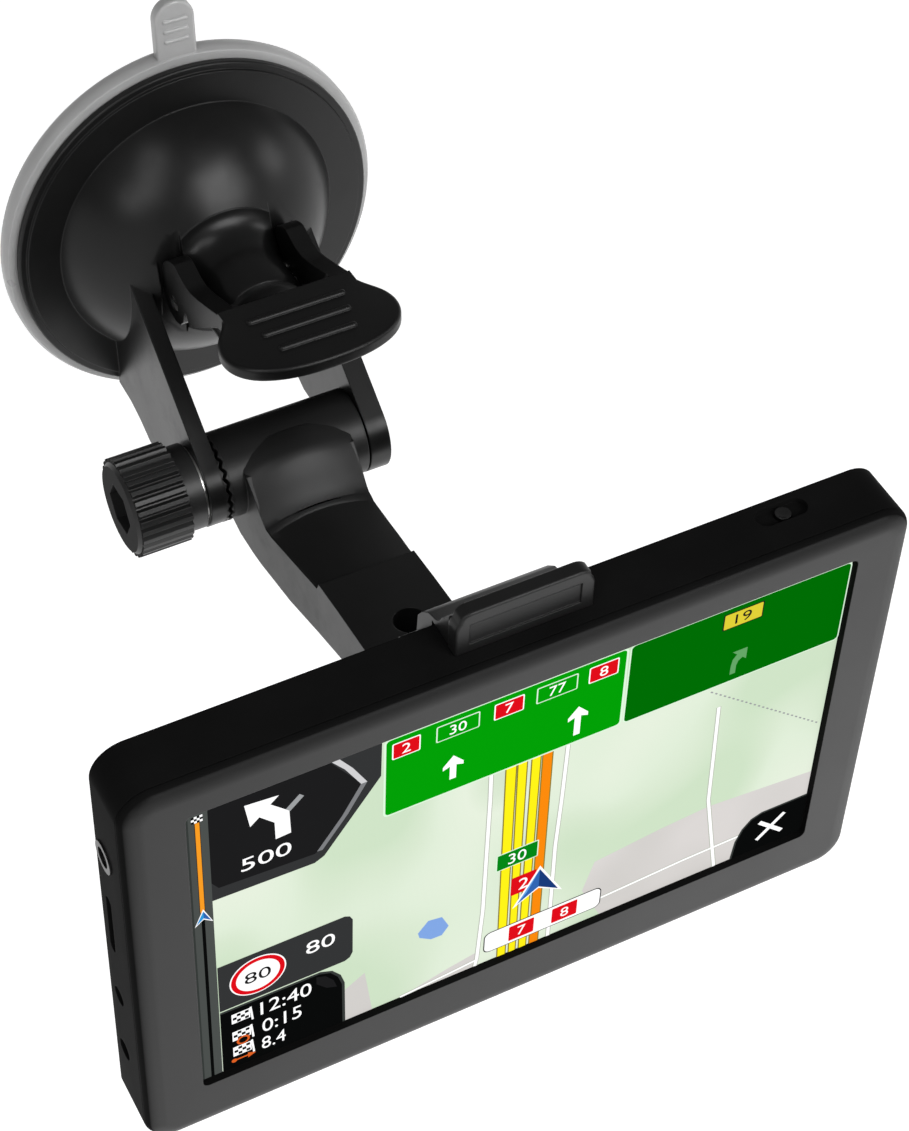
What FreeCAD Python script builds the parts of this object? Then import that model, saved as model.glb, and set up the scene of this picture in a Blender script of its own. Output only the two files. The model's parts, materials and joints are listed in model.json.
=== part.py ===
import FreeCAD, Part
import os, math
from FreeCAD import Vector as V

os.makedirs("parts", exist_ok=True)

# ---------------------------------------------------------------------------
# Portable navigator on a windscreen suction mount.
# Frame: origin at the centre of the suction face, +Y into the glass, +Z up.
# The navigator itself is drawn in its own frame (origin at the centre of its
# front face, X right, Y to the back, Z up) and set into place by dev().
# All lengths in millimetres.
# ---------------------------------------------------------------------------
DEV_TILT = 4.0                      # screen leans back by this angle, degrees
DEV_POS = (0.0, -127.9, -37.5)      # centre of the front face

# navigator case
W, H, T = 133.0, 90.2, 11.5
CORNER_R, EDGE_IN, EDGE_DEEP = 5.6, 3.6, 2.2
PART_Y = 2.0
WALL, BACK = 2.2, 1.2
OPEN_X0, OPEN_X1, OPEN_Z0, OPEN_Z1, OPEN_R = -56.7, 56.8, -33.3, 37.9, 1.2
SCREEN_Y = 1.3
SCREW_X, SCREW_Z = 61.8, 37.5
JACK_Y, JACK_Z, JACK_R = 8.3, 24.6, 1.75
BTN_X, BTN_Y, BTN_R = 47.3, 8.5, 1.3
USB_X = 33.0

# suction cup
PAD_R, PAD_T = 34.8, 4.0
TAB_W, TAB_TOP = 3.6, 45.3
FLANGE_R, FLANGE_Y, RING_Y = 33.0, -5.6, -6.1
DOME_R, DOME_CY, SHELL = 28.45, 6.1, 2.0
PLATEAU_Y = -19.5
NOSE_R, NOSE_END = 8.35, -35.0
PLUNGER_R = 5.2

# locking lever (cam lifts the plunger by STROKE over LEVER_DEG)
PIN_Y, PIN_Z, PIN_R = -23.5, 0.0, 1.5
CAM_H0, STROKE, LEVER_DEG = 4.6, 4.4, 80.0
CAM_SEAT_Y = -18.7                  # flat that the cams press on, in two pockets beside the nose
EAR_IN, EAR_OUT = 8.7, 12.0
PADDLE_Z0, PADDLE_Z1 = 9.7, 12.3

# fork, barrel joint and knob
AX_Y, AX_Z, AX_R = -39.0, -27.0, 7.85
FORK_IN, FORK_OUT = 13.3, 17.2
FORK_IN_L = -14.1                   # left arm is thinner, with radial teeth
BARREL_L, BARREL_R = -13.12, 13.0
TOOTH_N, TOOTH_H = 24, 0.45
BOLT_R, NUT_AF, HEAD_AF = 2.5, 8.0, 8.0
KNOB_R, KNOB_X0, KNOB_X1 = 9.0, -31.0, -21.0

# arm and ball joint
BALL = (0.0, -99.0, -33.0)
BALL_R, LINER_IN, LINER_OUT, SOCKET_IN, SOCKET_OUT = 7.5, 7.65, 9.2, 9.35, 11.6

# cradle
PLATE_Y0, PLATE_Y1 = 12.0, 15.0
LATCH_Y, LATCH_Z, LATCH_PIN_R = 14.8, 37.0, 1.0


def box(x0, x1, y0, y1, z0, z1):
    return Part.makeBox(x1 - x0, y1 - y0, z1 - z0, V(x0, y0, z0))


def cyl(p, d, r, h):
    return Part.makeCylinder(r, h, V(*p), V(*d))


def poly(pts):
    vs = [V(*p) for p in pts]
    return Part.Face(Part.makePolygon(vs + [vs[0]]))


def prism_x(yz, x0, x1):
    return poly([(x0, y, z) for y, z in yz]).extrude(V(x1 - x0, 0, 0))


def prism_z(xy, z0, z1):
    return poly([(x, y, z0) for x, y in xy]).extrude(V(0, 0, z1 - z0))


def prism_y(xz, y0, y1):
    return poly([(x, y0, z) for x, z in xz]).extrude(V(0, y1 - y0, 0))


def revolve_y(ry):
    return poly([(r, y, 0) for r, y in ry]).revolve(V(0, 0, 0), V(0, 1, 0), 360)


def rrect_y(x0, x1, z0, z1, r, y0, y1):
    s = box(x0, x1, y0, y1, z0, z1)
    es = [e for e in s.Edges if abs(e.tangentAt(e.FirstParameter).y) > 0.99]
    return s.makeFillet(r, es)


def slot_y_on_x(yc, z0, z1, r, x0, x1):
    # obround hole along X, long axis Z
    s = box(x0, x1, yc - r, yc + r, z0 + r, z1 - r)
    s = s.fuse(cyl((x0, yc, z0 + r), (1, 0, 0), r, x1 - x0))
    return s.fuse(cyl((x0, yc, z1 - r), (1, 0, 0), r, x1 - x0)).removeSplitter()


def hexagon(yc, zc, af, x0, x1, turn=0.0):
    r = af / math.sqrt(3)
    return prism_x([(yc + r * math.cos(math.radians(60 * i + turn)),
                     zc + r * math.sin(math.radians(60 * i + turn))) for i in range(6)], x0, x1)


def try_fillet(s, r, pick):
    # round the picked edges one radius at a time, leaving the shape as it is
    # where the rounding can't be made
    es = [e for e in s.Edges if pick(e)]
    for k in (1.0, 0.6, 0.35):
        try:
            t = s.makeFillet(r * k, es)
            if t.isValid() and abs(t.Volume - s.Volume) < 0.2 * s.Volume and len(t.Solids) == len(s.Solids):
                return t
        except Exception:
            pass
    print("rounding skipped", r, len(es))
    return s


def dev(s):
    s = s.copy()
    s.rotate(V(0, 0, 0), V(1, 0, 0), DEV_TILT)
    s.translate(V(*DEV_POS))
    return s


def export(s, name):
    s = s.removeSplitter() if len(s.Solids) == 1 else s
    assert s.isValid(), name
    s.exportStep("parts/" + name + ".step")
    b = s.BoundBox
    print("%-16s solids %d vol %9.1f  x %.1f..%.1f y %.1f..%.1f z %.1f..%.1f" % (
        name, len(s.Solids), s.Volume, b.XMin, b.XMax, b.YMin, b.YMax, b.ZMin, b.ZMax))


def cone_mouth(centre, direction, half_deg, length):
    r = length * math.tan(math.radians(half_deg))
    return Part.makeCone(0, r, length, V(*centre), V(*direction))


# ===========================================================================
# SUCTION CUP
# ===========================================================================
pad = revolve_y([(0, 0), (33.9, 0), (34.5, -0.5), (PAD_R, -1.2), (PAD_R, -3.3), (34.4, -PAD_T), (0, -PAD_T)])
tab = box(-TAB_W, TAB_W, -3.7, -1.3, 30.0, TAB_TOP - TAB_W).fuse(
    cyl((0, -3.7, TAB_TOP - TAB_W), (0, 1, 0), TAB_W, 2.4))
tab = tab.removeSplitter()
tab = try_fillet(tab, 0.5, lambda e: abs(e.BoundBox.YMax - e.BoundBox.YMin) < 1e-3 and e.BoundBox.ZMax > 35)
pad = pad.fuse(tab)
for i in range(3):
    zc = 37.9 + 1.95 * i
    rib = cyl((-1.9, -3.65, zc), (1, 0, 0), 0.42, 3.8)
    rib = rib.fuse(Part.makeSphere(0.42, V(-1.9, -3.65, zc))).fuse(Part.makeSphere(0.42, V(1.9, -3.65, zc)))
    pad = pad.fuse(rib)
export(pad, "suction_pad")

# housing: flange, flat ring, dome, plateau, nose and the two fork arms
flange = revolve_y([(0, -4.0), (32.7, -4.0), (FLANGE_R, -4.3), (FLANGE_R, FLANGE_Y + 0.25), (32.75, FLANGE_Y),
                    (31.75, FLANGE_Y), (31.6, RING_Y), (0, RING_Y)])
dome = Part.makeSphere(DOME_R, V(0, DOME_CY, 0)).common(box(-40, 40, PLATEAU_Y, RING_Y + 0.2, -40, 40))
# shoulder: concave sweep from the plateau edge up to the nose
sh = [(0, -18.5), (12.75, -18.5), (12.75, PLATEAU_Y)]
for i in range(1, 9):
    a = math.radians(90 * i / 8.0)
    sh.append((12.75 - (12.75 - NOSE_R) * math.sin(a), PLATEAU_Y - 6.5 * (1 - math.cos(a))))
sh += [(NOSE_R, NOSE_END + 1.6), (NOSE_R - 0.5, NOSE_END + 0.6), (NOSE_R - 1.6, NOSE_END), (0, NOSE_END)]
nose = revolve_y(sh)
for sx in (-1, 1):
    lo, hi = sorted((sx * (NOSE_R - 0.05), sx * 14.5))
    nose = nose.cut(box(lo, hi, -40, PLATEAU_Y, -14.5, 14.5))

# fork arm outline: apex on the dome, tangents to the round end, back edge to the flange
apex = (-16.4, 1.3)                # where the front edge leaves the dome, at the arm's outer side


def tangent(p, side):
    dx, dz = AX_Y - p[0], AX_Z - p[1]
    d = math.hypot(dx, dz)
    a = math.atan2(dz, dx) + side * math.asin(AX_R / d)
    l = math.sqrt(d * d - AX_R * AX_R)
    return (p[0] + l * math.cos(a), p[1] + l * math.sin(a))


t1 = tangent(apex, -1)
back_in = (apex[0] + 6.0 * (apex[0] - t1[0]) / math.hypot(apex[0] - t1[0], apex[1] - t1[1]),
           apex[1] + 6.0 * (apex[1] - t1[1]) / math.hypot(apex[0] - t1[0], apex[1] - t1[1]))
low = (-18.5, -33.2)
t2 = tangent(low, 1)
a1 = math.atan2(t1[1] - AX_Z, t1[0] - AX_Y)
a2 = math.atan2(t2[1] - AX_Z, t2[0] - AX_Y)
while a2 < a1:
    a2 += 2 * math.pi
am = 0.5 * (a1 + a2)
mid = (AX_Y + AX_R * math.cos(am), AX_Z + AX_R * math.sin(am))
fork_pts = [(-5.2, 2.0), back_in, t1, mid, t2, low, (-14.6, -31.2), (-10.6, -29.9), (-5.2, -29.4)]


def fork_arm(x0, x1):
    def v(p):
        return V(x0, p[0], p[1])
    es = [Part.LineSegment(v(fork_pts[0]), v(fork_pts[1])).toShape(),
          Part.LineSegment(v(fork_pts[1]), v(fork_pts[2])).toShape(),
          Part.Arc(v(t1), v(mid), v(t2)).toShape()]
    rest = fork_pts[4:] + [fork_pts[0]]
    for p, q in zip(rest, rest[1:]):
        es.append(Part.LineSegment(v(p), v(q)).toShape())
    f = Part.Face(Part.Wire(es))
    return f.extrude(V(x1 - x0, 0, 0))


def teeth(x_root, sign, phase, r0=3.4, r1=7.9):
    # radial V ridges standing sign * TOOTH_H out of the plane x = x_root
    out = []
    for i in range(TOOTH_N):
        a = 2 * math.pi * (i + phase) / TOOTH_N
        half = math.pi / TOOTH_N
        tri = []
        for r in (r0, r1):
            w = r * math.tan(half) * 0.98
            c, s = math.cos(a), math.sin(a)
            p0 = V(x_root - sign * 0.15, AX_Y + r * c - w * s * -1, AX_Z + r * s - w * c)
            p1 = V(x_root - sign * 0.15, AX_Y + r * c - w * s, AX_Z + r * s + w * c)
            p2 = V(x_root + sign * TOOTH_H, AX_Y + r * c, AX_Z + r * s)
            tri.append(Part.makePolygon([p0, p1, p2, p0]))
        out.append(Part.makeLoft(tri, True, True))
    return out


body0 = flange.fuse([dome, nose])
for sx in (-1, 1):
    # cam pocket beside the nose
    lo, hi = sorted((sx * (NOSE_R - 0.05), sx * 12.6))
    body0 = body0.cut(box(lo, hi, -40, CAM_SEAT_Y, -13.0, 13.0))
housing = body0.fuse([fork_arm(-FORK_OUT, FORK_IN_L), fork_arm(FORK_IN, FORK_OUT)])
housing = housing.fuse(teeth(FORK_IN_L, 1, 0.0)).removeSplitter()
hollow = Part.makeSphere(DOME_R - SHELL, V(0, DOME_CY, 0)).common(box(-40, 40, PLATEAU_Y + 2.2, -4.0 + 0.01, -40, 40))
housing = housing.cut(hollow)
housing = housing.cut(cyl((0, NOSE_END + 1.8, 0), (0, 1, 0), PLUNGER_R + 0.08, 30))
slot = box(-15, 15, PIN_Y - STROKE, PIN_Y, -PIN_R - 0.1, PIN_R + 0.1)
slot = slot.fuse([cyl((-15, PIN_Y, 0), (1, 0, 0), PIN_R + 0.1, 30), cyl((-15, PIN_Y - STROKE, 0), (1, 0, 0), PIN_R + 0.1, 30)])
housing = housing.cut(slot.removeSplitter())
housing = housing.cut(cyl((-20, AX_Y, AX_Z), (1, 0, 0), BOLT_R + 0.08, 40))
housing = housing.cut(hexagon(AX_Y, AX_Z, NUT_AF, 14.0, 20))
export(housing, "cup_housing")

plunger = cyl((0, -28.4, 0), (0, 1, 0), PLUNGER_R, 23.5)
plunger = plunger.fuse(cyl((0, -6.4, 0), (0, 1, 0), 14.0, 2.1)).removeSplitter()
plunger = plunger.cut(cyl((-10, PIN_Y, PIN_Z), (1, 0, 0), PIN_R, 20))
export(plunger, "plunger")
pin = cyl((-11.9, PIN_Y, PIN_Z), (1, 0, 0), PIN_R, 23.8)
pin = try_fillet(pin, 0.25, lambda e: True)
export(pin, "lever_pin")

# lever: two cam ears joined by the paddle
lev = []
brad = STROKE / math.radians(LEVER_DEG)
for i in range(0, 11):
    ph = math.radians(LEVER_DEG * i / 10.0)
    h = CAM_H0 + brad * ph
    lev.append((PIN_Y + h * math.cos(ph) - brad * math.sin(ph), h * math.sin(ph) + brad * math.cos(ph)))
lev += [(-26.6, 8.9), (-28.6, 8.2), (-31.3, 8.0), (-34.5, 8.8), (-40.0, 10.7), (-44.4, PADDLE_Z1), (-46.5, PADDLE_Z1),
        (-46.5, PADDLE_Z0), (-43.2, 9.0), (-37.6, 5.0), (-31.8, 0.7), (-29.6, 0.1), (-28.7, 1.7), (-27.7, 1.2), (-27.0, -1.6),
        (-25.7, -3.1), (-23.7, -3.8), (-21.3, -3.3), (-19.6, -1.7), (-19.0, -0.2)]
ears = []
for x0, x1 in ((-EAR_OUT, -EAR_IN), (EAR_IN, EAR_OUT)):
    e = prism_x(lev, x0, x1)
    ears.append(e)
wing = [(-12.1, -45.2), (-13.2, -47.3), (-14.9, -49.9), (-15.75, -52.8), (-15.3, -55.9), (-13.4, -58.6), (-10.0, -60.6),
        (-5.2, -61.8), (0, -62.1)]
wing = wing + [(-x, y) for x, y in reversed(wing[:-1])]
curve = Part.BSplineCurve()
curve.interpolate([V(x, y, PADDLE_Z0) for x, y in wing])
ends = Part.LineSegment(V(*curve.EndPoint), V(*curve.StartPoint)).toShape()
paddle = Part.Face(Part.Wire([curve.toShape(), ends])).extrude(V(0, 0, PADDLE_Z1 - PADDLE_Z0))
paddle = try_fillet(paddle, 0.7, lambda e: e.BoundBox.ZMax - e.BoundBox.ZMin < 1e-3 and e.BoundBox.YMax - e.BoundBox.YMin > 3)
bar = box(-EAR_OUT, EAR_OUT, -47.5, -43.3, PADDLE_Z0, PADDLE_Z1)
lever = ears[0].fuse([ears[1], bar, paddle])
for sx in (-1, 1):
    # inner corners of the U
    g = prism_z([(sx * EAR_IN, -41.2), (sx * EAR_IN, -43.4), (sx * (EAR_IN - 2.1), -43.4)], PADDLE_Z0 + 0.1, PADDLE_Z1 - 0.9)
    lever = lever.fuse(g)
lever = lever.removeSplitter()
lever = lever.cut(cyl((-15, PIN_Y, PIN_Z), (1, 0, 0), PIN_R + 0.05, 30))
for yc, half in ((-48.1, 8.3), (-52.1, 7.4), (-56.4, 6.4)):
    r = 0.62
    rib = cyl((-half, yc, PADDLE_Z1), (1, 0, 0), r, 2 * half)
    rib = rib.fuse([Part.makeSphere(r, V(-half, yc, PADDLE_Z1)), Part.makeSphere(r, V(half, yc, PADDLE_Z1))])
    lever = lever.fuse(rib)
export(lever, "lever")

# ===========================================================================
# CLAMP AT THE FORK
# ===========================================================================
teeth_n, r_out, r_in = 30, KNOB_R, KNOB_R - 0.75
star = []
for i in range(teeth_n):
    for f, r in ((0.0, r_in), (0.22, r_out), (0.62, r_out), (0.84, r_in)):
        a = 2 * math.pi * (i + f) / teeth_n
        star.append((AX_Y + r * math.cos(a), AX_Z + r * math.sin(a)))
knob = prism_x(star, KNOB_X0 + 0.6, KNOB_X1)
knob = knob.fuse(Part.makeCone(r_in - 0.45, r_in + 0.1, 0.6, V(KNOB_X0, AX_Y, AX_Z), V(1, 0, 0)))
knob = knob.common(Part.makeCone(KNOB_R - 0.6, KNOB_R + 19.4, 20.0, V(KNOB_X0, AX_Y, AX_Z), V(1, 0, 0)))
knob = knob.fuse(cyl((KNOB_X1, AX_Y, AX_Z), (1, 0, 0), 7.7, 3.2))
knob = knob.cut(hexagon(AX_Y, AX_Z, HEAD_AF, KNOB_X0 - 1, -23.5))
knob = knob.cut(cyl((KNOB_X0, AX_Y, AX_Z), (1, 0, 0), BOLT_R, 20))
export(knob, "clamp_knob")
washer = cyl((-17.75, AX_Y, AX_Z), (1, 0, 0), 7.0, 0.5).cut(cyl((-18, AX_Y, AX_Z), (1, 0, 0), BOLT_R + 0.2, 2))
export(washer, "clamp_washer")
bolt = cyl((-26.9, AX_Y, AX_Z), (1, 0, 0), BOLT_R, 44.1).fuse(hexagon(AX_Y, AX_Z, HEAD_AF, -26.9, -23.5))
bolt = bolt.cut(hexagon(AX_Y, AX_Z, 4.0, -27.5, -25.0))
export(bolt, "clamp_bolt")
nut = hexagon(AX_Y, AX_Z, NUT_AF, 14.0, 16.9).cut(cyl((13, AX_Y, AX_Z), (1, 0, 0), BOLT_R + 0.05, 6))
export(nut, "clamp_nut")

# ===========================================================================
# ARM WITH BARREL AND SOCKET
# ===========================================================================
barrel = cyl((BARREL_L, AX_Y, AX_Z), (1, 0, 0), AX_R - 0.05, BARREL_R - BARREL_L)
side = [(-40.0, -22.0), (-46.6, -22.3), (-48.6, -24.4), (-51.0, -27.5), (-52.9, -29.3), (-55.0, -29.5), (-63.0, -28.6),
        (-71.6, -27.6), (-72.4, -26.0), (-80.0, -25.8), (-92.0, -25.8), (-97.0, -26.0), (-97.0, -40.0), (-90.0, -37.6),
        (-81.0, -36.4), (-72.0, -38.2), (-61.0, -39.7), (-50.0, -40.0), (-42.0, -39.3), (-37.5, -37.4), (-34.0, -33.0),
        (-36.0, -27.0)]
plan = [(-10.6, -30), (-10.3, -47), (-10.0, -53), (-9.1, -71.8), (-9.0, -100), (8.8, -100), (8.7, -71.8), (9.7, -53), (10.1, -47),
        (10.5, -30)]
body = prism_x(side, -13, 13).common(prism_z(plan, -60, 0))
body = try_fillet(body, 0.8, lambda e: abs(e.BoundBox.XMin) > 8.5 and e.BoundBox.XMax * e.BoundBox.XMin > 0
                  and e.BoundBox.ZMax < -35.0 and e.BoundBox.YMax < -36)
arm = barrel.fuse([body, Part.makeSphere(SOCKET_OUT, V(*BALL))] + teeth(BARREL_L, -1, 0.5)).removeSplitter()
arm = arm.cut(cyl((-20, AX_Y, AX_Z), (1, 0, 0), BOLT_R + 0.08, 40))
arm = arm.cut(Part.makeSphere(SOCKET_IN, V(*BALL)))
arm = arm.cut(cone_mouth(BALL, (0, -1, 0), 52, 14))
arm = arm.cut(cyl((0.6, -87.0, -34.0), (0, 0, 1), 2.9, 20))
arm = arm.cut(box(-1.1, 2.3, -115, -87.0, -33.5, -15))
export(arm, "mount_arm")

liner = Part.makeSphere(LINER_OUT, V(*BALL)).cut(Part.makeSphere(LINER_IN, V(*BALL)))
liner = liner.cut(cone_mouth(BALL, (0, -1, 0), 46, 14))
export(liner, "socket_liner")

# ball stud, drawn in the navigator's frame along its Y axis
ca, sa = math.cos(math.radians(DEV_TILT)), math.sin(math.radians(DEV_TILT))
ry, rz = BALL[1] - DEV_POS[1], BALL[2] - DEV_POS[2]
BY, BZ = ry * ca + rz * sa, -ry * sa + rz * ca
stud = Part.makeSphere(BALL_R, V(0, BY, BZ))
stud = stud.fuse([cyl((0, 13.4, BZ), (0, 1, 0), 3.1, BY - 13.4), cyl((0, 12.1, BZ), (0, 1, 0), 4.6, 1.3),
                  cyl((0, PLATE_Y1 + 0.1, BZ), (0, 1, 0), 7.5, 1.6)]).removeSplitter()
export(dev(stud), "ball_stud")

# ===========================================================================
# CRADLE AND LATCH  (navigator frame)
# ===========================================================================
plate = rrect_y(-24, 24, -48.0, 33.6, 2.5, PLATE_Y0, PLATE_Y1)
# ribbed back of the plate
rim = rrect_y(-24, 24, -48.0, 33.6, 2.5, PLATE_Y1 - 0.1, PLATE_Y1 + 1.2).cut(
    rrect_y(-21.5, 21.5, -45.0, 31.0, 2.0, PLATE_Y1 - 1, PLATE_Y1 + 3))
boss = cyl((0, PLATE_Y1 - 0.1, BZ), (0, 1, 0), 11.0, 1.3).cut(cyl((0, PLATE_Y1 - 1, BZ), (0, 1, 0), 8.2, 5))
ledge = rrect_y(-24, 24, -48.0, -45.35, 0.8, 4.2, PLATE_Y0 + 0.5)
rail = box(-20, 20, 6.2, 8.0, -45.6, -44.1)
cradle = plate.fuse([rim, boss, ledge, rail])
for a in (40, 140, 220, 320):
    c, s = math.cos(math.radians(a)), math.sin(math.radians(a))
    rr = box(10.5, 34, PLATE_Y1 - 0.1, PLATE_Y1 + 1.0, -0.7, 0.7)
    rr.rotate(V(0, 0, 0), V(0, 1, 0), -a)
    rr.translate(V(0, 0, BZ))
    cradle = cradle.fuse(rr.common(box(-23, 23, 10, 20, -47, 32.5)))
for sx in (-1, 1):
    lo, hi = sorted((sx * 11.8, sx * 14.4))
    lug = box(lo, hi, PLATE_Y0, LATCH_Y + 2.4, 28.0, LATCH_Z).fuse(
        cyl((lo, LATCH_Y, LATCH_Z), (1, 0, 0), 2.4, hi - lo)).fuse(box(lo, hi, PLATE_Y0, LATCH_Y, LATCH_Z - 1, LATCH_Z + 2.4))
    cradle = cradle.fuse(lug)
cradle = cradle.removeSplitter()
cradle = cradle.cut(cyl((0, 10, BZ), (0, 1, 0), 3.2, 10)).cut(cyl((0, 11, BZ), (0, 1, 0), 4.75, 2.4))
cradle = cradle.cut(cyl((-20, LATCH_Y, LATCH_Z), (1, 0, 0), LATCH_PIN_R, 40))
export(dev(cradle), "cradle")

finger = rrect_y(-11.6, 11.6, 40.0, 52.9, 2.8, 4.4, 7.1).common(box(-12, 12, 4, 9, 45.35, 60))
finger = try_fillet(finger, 0.5, lambda e: abs(e.BoundBox.YMax - e.BoundBox.YMin) < 1e-3 and e.BoundBox.ZMax > 46 and
                    not (abs(e.BoundBox.ZMax - 45.35) < 1e-3 and abs(e.BoundBox.ZMin - 45.35) < 1e-3))
back = prism_x([(7.0, 45.35), (7.0, 51.6), (8.0, 51.5), (9.2, 50.6), (9.9, 48.2), (11.0, 47.4), (13.4, 47.2), (15.4, 45.9), (16.6, 43.4),
                (17.0, LATCH_Z + 0.5), (12.6, LATCH_Z - 0.6), (12.1, LATCH_Z + 4), (12.1, 45.35)], -11.4, 9.9)
knuckle = cyl((-11.5, LATCH_Y, LATCH_Z), (1, 0, 0), 2.4, 23.0)
tooth = box(-6, 6, 6.4, 7.8, 43.95, 45.5)
latch = finger.fuse([back, knuckle, tooth]).removeSplitter()
latch = latch.cut(box(-9.3, 9.3, 4.0, 4.7, 47.0, 51.2))
latch = latch.cut(cyl((-20, LATCH_Y, LATCH_Z), (1, 0, 0), LATCH_PIN_R + 0.05, 40))
export(dev(latch), "cradle_latch")
export(dev(cyl((-14.4, LATCH_Y, LATCH_Z), (1, 0, 0), LATCH_PIN_R, 28.8)), "latch_pin")

# ===========================================================================
# NAVIGATOR CASE  (navigator frame)
# ===========================================================================
k = EDGE_DEEP / EDGE_IN
outer = rrect_y(-W / 2, W / 2, -H / 2, H / 2, CORNER_R, 0, T / k)
front_edges = [e for e in outer.Edges if abs(e.BoundBox.YMax) < 1e-6]
outer = outer.makeFillet(EDGE_IN, front_edges)
m = FreeCAD.Matrix()
m.A22 = k
outer = outer.transformGeometry(m)
back_edges = [e for e in outer.Edges if abs(e.BoundBox.YMin - T) < 1e-3 and abs(e.BoundBox.YMax - T) < 1e-3]
try:
    t = outer.makeChamfer(0.8, back_edges)
    outer = t if t.isValid() else outer
except Exception:
    print("rear chamfer skipped")


def screw_at(fn):
    return [fn(sx * SCREW_X, sz * SCREW_Z) for sx in (-1, 1) for sz in (-1, 1)]


inner = rrect_y(-W / 2 + WALL, W / 2 - WALL, -H / 2 + WALL, H / 2 - WALL, CORNER_R - WALL, SCREEN_Y, T - BACK)
bez = outer.common(box(-70, 70, -1, PART_Y, -50, 50)).cut(inner)
lip = rrect_y(-64.15, 64.15, -42.75, 42.75, 5.6, SCREEN_Y - 0.3, 4.2).cut(rrect_y(-63.0, 63.0, -41.6, 41.6, 4.5, SCREEN_Y, 6))
bez = bez.fuse([lip] + screw_at(lambda x, z: cyl((x, SCREEN_Y - 0.3, z), (0, 1, 0), 2.1, 5.9)))
bez = bez.cut(rrect_y(OPEN_X0, OPEN_X1, OPEN_Z0, OPEN_Z1, OPEN_R, -1, SCREEN_Y + 0.3))
for h in screw_at(lambda x, z: cyl((x, 2.4, z), (0, 1, 0), 0.9, 6)):
    bez = bez.cut(h)
export(dev(bez), "front_bezel")

rear = outer.common(box(-70, 70, PART_Y + 0.08, T + 1, -50, 50)).cut(inner)
for s in screw_at(lambda x, z: cyl((x, 7.3, z), (0, 1, 0), 2.4, T - BACK - 7.2)):
    rear = rear.fuse(s)
for s in screw_at(lambda x, z: cyl((x, 6, z), (0, 1, 0), 1.0, 8)) + screw_at(lambda x, z: cyl((x, 10.2, z), (0, 1, 0), 2.0, 3)):
    rear = rear.cut(s)
# cradle channels, open to the rear
rear = rear.cut(box(-6.6, 6.6, 6.0, 13, 43.7, 46)).cut(box(-20.4, 20.4, 5.9, 13, -46, -43.9))
# earphone jack, card slot and two small recesses on the left wall
rear = rear.cut(cyl((-68, JACK_Y, JACK_Z), (1, 0, 0), 2.85, 5))
rear = rear.cut(slot_y_on_x(8.45, 0.6, 14.1, 1.0, -68, -63))
rear = rear.cut(cyl((-68, 8.0, -11.3), (1, 0, 0), 1.7, 2.3)).cut(cyl((-68, 8.0, -11.3), (1, 0, 0), 0.5, 5))
rear = rear.cut(cyl((-68, 8.0, -26.5), (1, 0, 0), 1.9, 2.3)).cut(cyl((-68, 8.0, -26.5), (1, 0, 0), 0.6, 5))
# power button recess on the top wall
rec = box(42.4 + 1.8, 51.4 - 1.8, BTN_Y - 1.8, BTN_Y + 1.8, 44.0, 47)
rec = rec.fuse([cyl((44.2, BTN_Y, 44.0), (0, 0, 1), 1.8, 3), cyl((49.6, BTN_Y, 44.0), (0, 0, 1), 1.8, 3)]).removeSplitter()
rear = rear.cut(rec).cut(cyl((BTN_X, BTN_Y, 40), (0, 0, 1), BTN_R + 0.08, 8))
# data socket on the bottom wall
rear = rear.cut(rrect_y(USB_X - 4.1, USB_X + 4.1, -50, -40, 0.9, 7.0, 9.9))
# speaker grille
for i in range(-4, 5):
    half = math.sqrt(9.6 ** 2 - (2.1 * i) ** 2) if abs(2.1 * i) < 9.4 else 3.0
    rear = rear.cut(box(-38 - half, -38 + half, 9, 13, -24 + 2.1 * i - 0.45, -24 + 2.1 * i + 0.45))
# shallow raised field on the back for the regulatory area left plain
export(dev(rear), "rear_cover")

screws = []
for s in screw_at(lambda x, z: cyl((x, 3.0, z), (0, 1, 0), 0.9, 7.5).fuse(
        cyl((x, 10.2, z), (0, 1, 0), 1.9, 1.05)).cut(box(x - 1.2, x + 1.2, 10.7, 12, z - 0.22, z + 0.22)).cut(
        box(x - 0.22, x + 0.22, 10.7, 12, z - 1.2, z + 1.2))):
    screws.append(s.removeSplitter())
export(dev(Part.makeCompound(screws)), "case_screws")

export(dev(box(-59.4, 59.4, SCREEN_Y + 0.02, SCREEN_Y + 1.0, -36.5, 41.2)), "touch_panel")
export(dev(box(-58.6, 58.6, SCREEN_Y + 1.05, 5.1, -35.6, 40.4)), "lcd_module")
pcb = box(-59.3, 59.3, 5.3, 6.2, -40.5, 40.9).fuse(box(-63.6, -59.0, 5.3, 6.2, -32, 32)).removeSplitter()
export(dev(pcb), "main_board")
export(dev(rrect_y(-12, 42, -30, 12, 1.5, 6.35, 10.1)), "battery")
spk = cyl((-38, 6.3, -24), (0, 1, 0), 11.0, 3.6).cut(Part.makeCone(4.0, 9.0, 1.2, V(-38, 8.8, -24), V(0, 1, 0)))
export(dev(spk), "speaker")
export(dev(rrect_y(12, 27, 20, 35, 0.5, 6.25, 10.0)), "gps_antenna")
export(dev(rrect_y(-46, -16, -6, 26, 1.0, 6.25, 8.8)), "shield_can")
jack = box(-64.2, -51.5, 6.25, 10.25, JACK_Z - 3.2, JACK_Z + 3.2).fuse(
    cyl((-66.75, JACK_Y, JACK_Z), (1, 0, 0), 2.75, 2.6)).removeSplitter()
jack = jack.cut(cyl((-67.5, JACK_Y, JACK_Z), (1, 0, 0), JACK_R, 14.5))
export(dev(jack), "earphone_jack")
card = box(-64.2, -49.5, 6.9, 9.9, -0.4, 15.1).cut(box(-65, -51, 7.9, 9.05, 1.3, 13.4))
export(dev(card), "card_slot")
usb = rrect_y(USB_X - 3.9, USB_X + 3.9, -44.6, -36.8, 0.7, 7.15, 9.75)
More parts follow.
